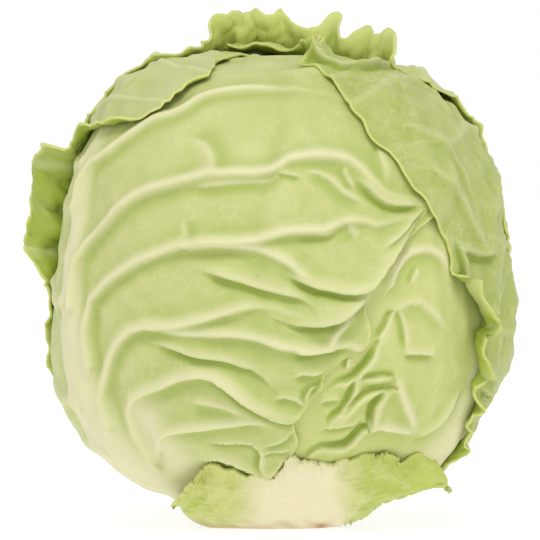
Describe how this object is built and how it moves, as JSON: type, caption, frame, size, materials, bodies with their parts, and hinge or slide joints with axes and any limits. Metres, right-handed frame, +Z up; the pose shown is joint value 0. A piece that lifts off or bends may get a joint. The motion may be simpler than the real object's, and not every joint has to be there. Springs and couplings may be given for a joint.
{
  "type": "cabbage head",
  "caption": "Whole trimmed green cabbage head: loose wrapper leaves with thick pale midribs over a firm round heart, a torn leaf base in front, standing on its cut stem.",
  "frame": {"origin": "centre of the cut face of the stem, which the head stands on", "axes": "+Z up along the stem; -Y is the front, towards the torn leaf base; +X is to the right seen from the front"},
  "size_m": [0.1735, 0.166, 0.178],
  "materials": {
    "heart": "pale yellow-green leaf, satin",
    "inner_leaf": "pale yellow-green leaf with cream veins, waxy satin",
    "outer_leaf": "yellow-green leaf with cream veins, waxy satin",
    "torn_base": "cream midrib with ragged yellow-green blade, moist satin",
    "stem": "cream cut flesh, browned at the cut, matte"
  },
  "bodies": {
    "root": {"heart": "heart", "stem": "stem", "right_inner_leaf": "inner_leaf", "front_leaf": "inner_leaf", "left_outer_leaf": "outer_leaf", "right_outer_leaf": "outer_leaf", "back_outer_leaf": "outer_leaf", "torn_leaf_base": "torn_base"}
  },
  "joints": []
}
